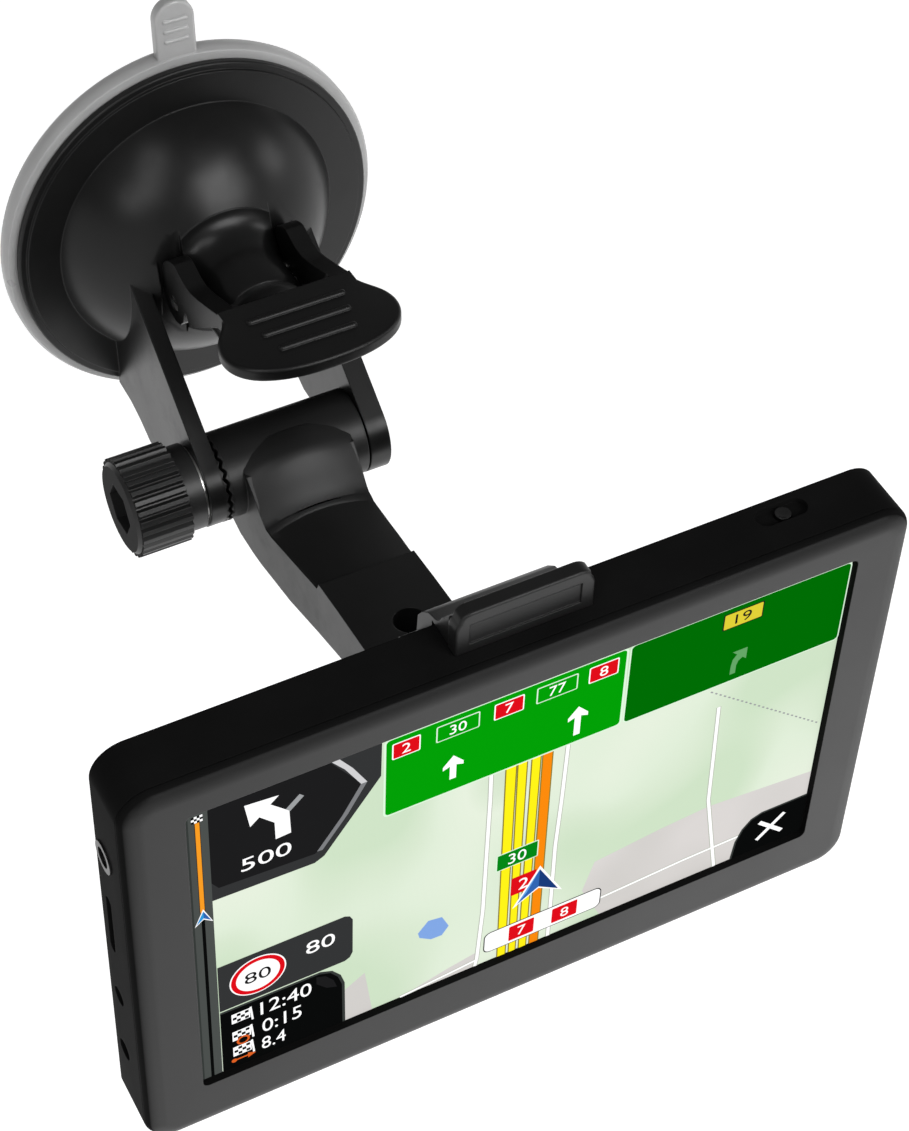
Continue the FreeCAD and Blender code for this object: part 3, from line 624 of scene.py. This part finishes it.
shield(-4.2, -8.6, 3.5, -4.2, "shield_g", "green_line", "30", "white")
shield(-1.1, -17.0, 3.5, -12.2, "red", "red", "2", "white")
shields.rect(-5.6, -30.6, 16.6, -25.0, 6, L["ink"], 1.3)
shields.rect(-5.4, -30.4, 16.4, -25.2, 7, L["white"], 1.15)
shield(-0.9, -29.8, 3.8, -25.8, "red", "red", "7", "white", 8)
shield(7.2, -29.8, 12.0, -25.8, "red", "red", "8", "white", 8)
shields.done()

signs = Picture("direction_signs")
signs.rect(-24.9, 36.3, SX1, SZ1, 4, L["strip_lo"])
signs.rect(-24.6, 17.8, 16.7, 36.35, 5, L["green_line"], 0.9)
signs.rect(-24.25, 18.15, 16.35, 36.0, 6, L["green"], 0.7)
signs.rect(16.95, 17.8, SX1, 36.35, 5, L["green_line"], 0.9)
signs.rect(17.2, 18.05, SX1 - 0.25, 36.1, 6, L["green_dk"], 0.7)
for x, z0, z1 in ((-12.9, 21.0, 26.6), (8.6, 19.8, 26.6)):
    w = 0.55
    signs.plate([(x - w, z0), (x + w, z0), (x + w, z1 - 2.4), (x + 1.75, z1 - 2.9), (x + 1.75, z1 - 2.1), (x, z1), (x - 1.75, z1 - 2.1), (x - 1.75, z1 - 2.9), (x - w, z1 - 2.4)], 7, L["white"])
signs.plate([(36.2, 19.6), (37.2, 19.6), (37.2, 21.4), (37.5, 22.4), (38.2, 23.0), (38.9, 22.3), (38.9, 25.0), (36.2, 25.0), (37.1, 24.1), (36.4, 23.1), (36.2, 21.6)], 7, L["green_faint"])
for x0, z0, x1, z1, key, edge, num in ((-23.3, 31.2, -18.6, 34.9, "red", "white", "2"), (-16.0, 31.2, -8.7, 34.9, "green", "green_line", "30"),
                                       (-6.3, 31.2, -1.2, 34.9, "red", "white", "7"), (0.9, 31.2, 8.0, 34.9, "green", "green_line", "77"),
                                       (9.9, 31.2, 15.1, 34.9, "red", "white", "8"), (33.5, 31.3, 40.8, 35.1, "yellow_sh", "ink", "719"[1:])):
    signs.rect(x0, z0, x1, z1, 7, L[edge], 0.3)
    signs.rect(x0 + 0.22, z0 + 0.22, x1 - 0.22, z1 - 0.22, 8, L[key], 0.2)
    h = (z1 - z0) * 0.58
    w = h * 0.66 * len(num)
    signs.digits(num, (x0 + x1) / 2 - w / 2, (z0 + z1) / 2 - h / 2, h, 9, L["ink" if key == "yellow_sh" else "white"], width=w)
signs.done()

# vehicle arrow
car = Picture("vehicle_arrow")
car.plate([(4.1, -11.6), (8.7, -20.9), (4.1, -17.7), (-0.6, -20.7)], 9, L["white"])
car.plate([(4.1, -12.5), (7.9, -20.1), (4.1, -17.3)], 10, L["blue_dk"])
car.plate([(4.1, -12.5), (4.1, -17.3), (0.2, -19.9)], 10, L["blue"])
car.plate([(4.1, -12.5), (2.0, -16.4), (0.2, -19.9), (1.9, -17.6)], 11, L["blue_lt"])
car.done()

# turn panel
turn = Picture("turn_panel")
turn.plate([(-52.8, SZ1), (-24.9, SZ1), (-25.0, 28.4), (-34.4, 14.2), (-36.0, 13.3), (-52.8, 13.9)], 2, L["dark"])
turn.plate([(-52.8, SZ1), (-34.4, SZ1), (-28.2, 28.5), (-34.8, 16.3), (-36.0, 15.6), (-51.7, 16.6), (-52.8, 18.4)], 3, L["ink"])
turn.plate([(-34.3, SZ1), (-32.9, SZ1), (-29.7, 33.0), (-27.3, 28.4), (-28.3, 28.4), (-31.0, 33.4)], 4, L["silver"])
turn.plate([(-28.3, 28.4), (-27.3, 28.4), (-30.5, 22.3), (-34.7, 15.9), (-35.6, 16.0), (-31.4, 22.4)], 4, L["silver_lo"])
turn.plate([(-47.1, 33.9), (-41.6, 33.3), (-43.0, 31.9), (-40.0, 28.7), (-39.8, 23.3), (-42.3, 23.1), (-42.4, 27.2), (-44.8, 29.9), (-46.3, 28.4)], 4, L["white"])
turn.plate([(-40.6, 29.3), (-38.3, 31.7), (-37.6, 30.9), (-39.9, 28.5)], 4, L["grey"])
turn.digits("500", -48.0, 18.2, 3.1, 4, L["white"], width=8.2)
turn.done()

# trip strip at the left
strip = Picture("trip_strip")
strip.rect(SX0, SZ0, -52.8, SZ1, 2, L["strip"])
strip.rect(SX0, SZ0, -55.9, SZ1, 3, L["strip_lo"])
strip.rect(-54.75, SZ0, -54.2, 12.0, 3, L["black"])
strip.rect(-54.95, 12.2, -54.05, 34.2, 4, L["ink"])
strip.rect(-54.85, 12.2, -54.15, 34.2, 5, L["amber"])
for i in range(4):
    for j in range(3):
        strip.rect(-55.4 + 0.45 * i, 34.3 + 0.5 * j, -54.95 + 0.45 * i, 34.8 + 0.5 * j, 5, L["white" if (i + j) % 2 else "black"])
strip.plate([(-54.4, 12.9), (-52.9, 9.0), (-54.4, 10.3), (-55.9, 9.0)], 6, L["white"])
strip.plate([(-54.4, 12.4), (-53.2, 9.5), (-54.4, 10.6)], 7, L["blue"])
strip.plate([(-54.4, 12.4), (-54.4, 10.6), (-55.6, 9.5)], 7, L["cyan"])
strip.done()

# speed panel and arrival panel
speed = Picture("speed_panel")
speed.plate([(-52.7, -3.8), (-31.0, -3.8), (-30.1, -4.3), (-29.6, -5.4), (-29.6, -14.3), (-30.1, -15.5), (-31.0, -16.0), (-52.7, -16.0)], 4, L["dark"])
speed.disc(-46.0, -9.9, 4.85, 5, L["white"])
speed.disc(-46.0, -9.9, 4.6, 6, L["red"])
speed.disc(-46.0, -9.9, 3.75, 7, L["white"])
speed.digits("80", -48.3, -11.3, 2.8, 8, L["ink"], width=4.5)
speed.digits("80", -37.7, -10.0, 3.2, 5, L["white"], width=5.0)
speed.done()

trip = Picture("arrival_panel")
trip.plate([(-52.7, -16.3), (-35.3, -16.3), (-33.2, -17.3), (-31.7, -19.4), (-31.0, -22.0), (-30.9, SZ0), (-52.7, SZ0)], 4, L["strip_lo"])
trip.plate([(-52.7, -16.8), (-35.5, -16.8), (-33.5, -17.7), (-32.2, -19.6), (-31.5, -22.1), (-31.4, SZ0), (-52.7, SZ0)], 5, L["black"])
trip.plate([(-36.0, -17.3), (-34.4, -18.0), (-33.0, -20.0), (-32.4, -22.2), (-34.2, -21.4), (-36.0, -19.2)], 6, L["ink"])
trip.digits("12:40", -45.8, -21.4, 3.5, 6, L["white"], width=8.9)
trip.digits("0:15", -45.6, -26.6, 3.5, 6, L["white"], width=6.9)
trip.digits("8.4", -45.8, -31.4, 3.3, 6, L["white"], width=4.2)
for k, z in enumerate((-20.6, -25.6, -30.0)):
    trip.rect(-50.8, z - 0.1, -47.6, z + 2.5, 6, L["white"])
    for i in range(4):
        for j in range(3):
            if (i + j) % 2:
                trip.rect(-50.6 + 0.7 * i, z + 0.1 + 0.75 * j, -49.95 + 0.7 * i, z + 0.75 + 0.75 * j, 7, L["black"])
    trip.line([(-47.5, z + 2.7), (-47.2, z - 1.0)], 0.35, 6, L["white"])
trip.disc(-49.0, -26.2, 1.15, 8, L["rust"], 24)
trip.disc(-49.0, -26.2, 0.75, 9, L["black"], 24)
trip.line([(-50.8, -31.2), (-48.0, -31.2)], 0.35, 8, L["rust"])
trip.disc(-50.7, -31.2, 0.5, 9, L["rust"], 20)
trip.plate([(-48.3, -30.5), (-46.9, -31.2), (-48.3, -31.9)], 9, L["rust"])
trip.done()

# close tab at the lower right
tab = Picture("close_tab")
tab.plate([(42.4, SZ0), (42.9, -28.6), (44.0, -25.6), (45.6, -23.6), (47.6, -22.8), (SX1, -22.8), (SX1, SZ0)], 5, L["strip_lo"])
tab.plate([(42.8, SZ0), (43.3, -28.6), (44.3, -25.9), (45.8, -24.0), (47.7, -23.2), (SX1, -23.2), (SX1, SZ0)], 6, L["black"])
tab.line([(47.5, -30.6), (52.5, -25.6)], 0.85, 7, L["white"])
tab.line([(47.5, -25.6), (52.5, -30.6)], 0.85, 8, L["white"])
tab.done()

# ----------------------------------------------------------------------------
# floor and studio light
# ----------------------------------------------------------------------------
fl = Net("floor_pale")
fn = fl.noise(3.0, 2.0)
fl.set(Base_Color=fl.ramp(fn, [(0.3, (0.48, 0.48, 0.48)), (0.7, (0.52, 0.52, 0.52))]), Roughness=0.9,
       Specular_IOR_Level=0.1, Emission_Color=(1, 1, 1), Emission_Strength=fl.span(fn, 0.82, 0.85))
me = bpy.data.meshes.new("floor")
me.from_pydata([(-9, -9, -0.55), (9, -9, -0.55), (9, 9, -0.55), (-9, 9, -0.55)], [], [(0, 1, 2, 3)])
me.materials.append(fl.m)
floor = bpy.data.objects.new("floor", me)
scene.collection.objects.link(floor)

# the room is pale at floor level and darkens upwards
world = bpy.data.worlds.new("world")
world.use_nodes = True
wt = world.node_tree
back = wt.nodes["Background"]
back.inputs[0].default_value = (1, 1, 1, 1)
look = wt.nodes.new("ShaderNodeTexCoord")
split = wt.nodes.new("ShaderNodeSeparateXYZ")
rise = wt.nodes.new("ShaderNodeMapRange")
rise.inputs["From Min"].default_value, rise.inputs["From Max"].default_value = 0.06, 0.26
rise.inputs["To Min"].default_value, rise.inputs["To Max"].default_value = 0.92, 0.22
wt.links.new(look.outputs["Generated"], split.inputs[0])
wt.links.new(split.outputs["Z"], rise.inputs["Value"])
wt.links.new(rise.outputs["Result"], back.inputs[1])
scene.world = world


def softbox(name, direction, dist, sx, sy, watts, roll=0.0, target=(0, -0.05, -0.02)):
    d = Vector(direction).normalized()
    li = bpy.data.lights.new(name, "AREA")
    li.shape = "RECTANGLE"
    li.size, li.size_y = sx, sy
    li.energy = watts
    ob = bpy.data.objects.new(name, li)
    scene.collection.objects.link(ob)
    ob.matrix_world = (Matrix.Translation(Vector(target) + d * dist) @ d.to_track_quat("Z", "Y").to_matrix().to_4x4()
                       @ Matrix.Rotation(math.radians(roll), 4, "Z"))
    return ob


softbox("front_tall", (-0.42, -0.50, 0.76), 1.5, 0.45, 1.0, 4.6)
softbox("front_wide", (0.32, -0.79, 0.50), 1.5, 0.8, 0.75, 15.0)
softbox("right_wide", (0.91, -0.28, 0.30), 1.3, 0.32, 0.38, 1.9)
softbox("left_small", (-0.66, -0.50, 0.46), 1.4, 0.30, 0.30, 1.6)
softbox("low_card", (0.42, -0.53, -0.74), 0.56, 0.42, 0.34, 0.45, target=(0.015, -0.13, -0.04))
